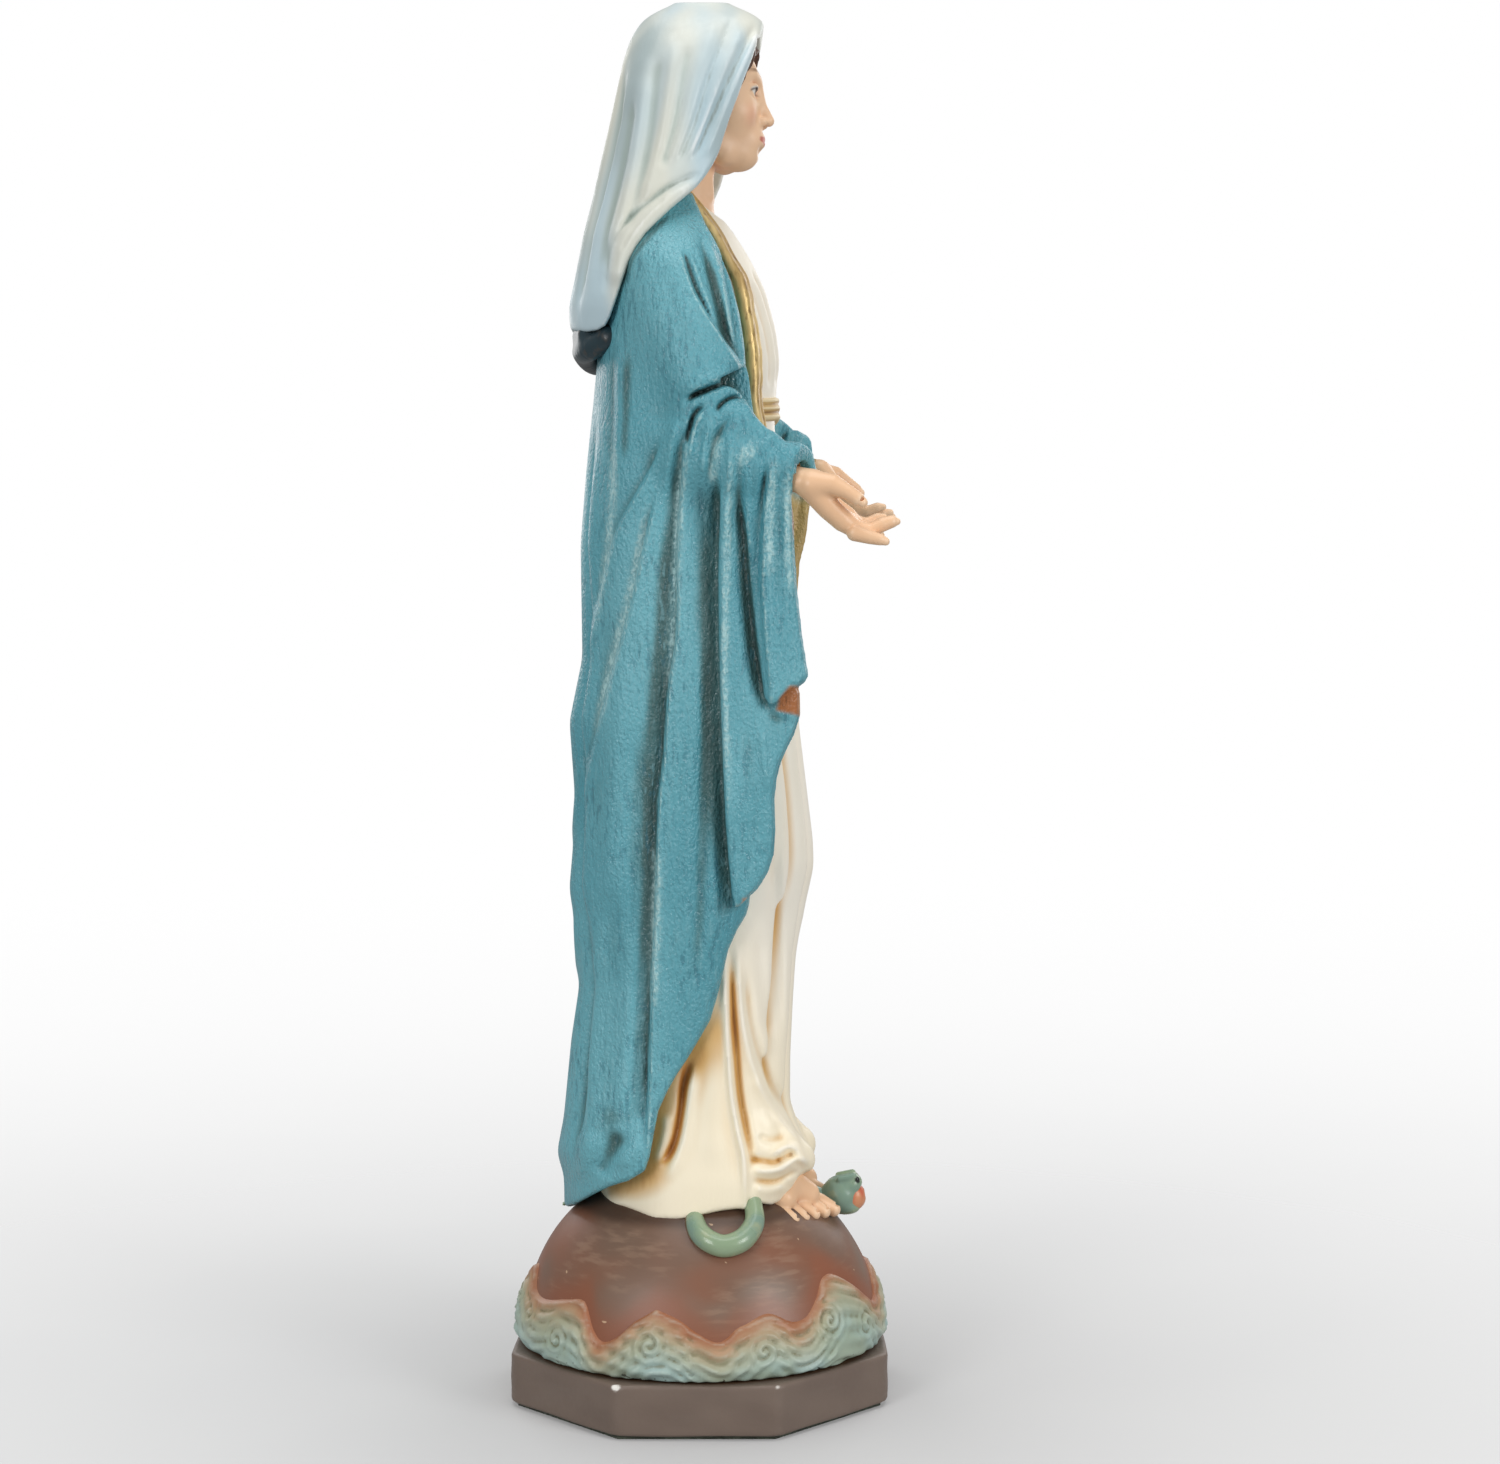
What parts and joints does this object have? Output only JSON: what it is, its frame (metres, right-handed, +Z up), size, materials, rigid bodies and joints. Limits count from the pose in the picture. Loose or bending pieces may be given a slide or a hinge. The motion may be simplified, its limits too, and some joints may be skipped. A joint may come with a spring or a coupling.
{
  "type": "madonna statue",
  "caption": "Standing veiled figure with open hands, on a globe with a cloud band and a serpent, over an octagonal plinth; free-standing devotional statue.",
  "frame": {"origin": "centre of the underside that the statue rests on", "axes": "+Z up along the statue's height; the figure faces -Y, and its right hand is on the -X side"},
  "size_m": [0.0804, 0.0857, 0.305],
  "materials": {
    "felt": "short dark green felt",
    "plinth_paint": "satin grey-brown paint on cast resin, chipped at the corners",
    "globe_paint": "satin red-brown paint, brushed lighter on the high parts",
    "cloud_paint": "pale turquoise shading through sage to orange-brown at the crests, antiqued",
    "steel": "plain steel pin",
    "gown_paint": "cream paint with an ochre and brown antique wash in the folds",
    "belt_paint": "tan and dull gold paint on ribbed relief",
    "mantle_paint": "satin teal-blue paint, dry-brushed paler and silvery on the fold tops, dark green wash in the valleys",
    "gilt_paint": "antique gold paint",
    "lining_paint": "orange-brown paint",
    "skin_paint": "satin warm flesh paint",
    "hair_paint": "dark brown paint",
    "veil_paint": "pale blue-white paint with a cream and grey-green wash",
    "serpent_paint": "sage green paint, orange-red inside the mouth",
    "apple_paint": "satin red paint, orange on the high side"
  },
  "bodies": {
    "root": {"felt_pad": "felt", "plinth": "plinth_paint", "globe": "globe_paint", "cloud_band": "cloud_paint", "figure_dowels": "steel", "gown": "gown_paint", "belt": "belt_paint", "mantle": "mantle_paint", "mantle_border_right": "gilt_paint", "mantle_border_left": "gilt_paint", "mantle_drape_right": "mantle_paint", "mantle_drape_left": "mantle_paint", "sleeve_right": "lining_paint", "sleeve_left": "lining_paint", "wrist_pin_right": "steel", "wrist_pin_left": "steel", "hand_right": "skin_paint", "hand_left": "skin_paint", "foot_right": "skin_paint", "foot_left": "skin_paint", "head": "skin_paint", "hair": "hair_paint", "veil": "veil_paint", "serpent_body": "serpent_paint", "serpent_head": "serpent_paint", "serpent_apple": "apple_paint"}
  },
  "joints": []
}
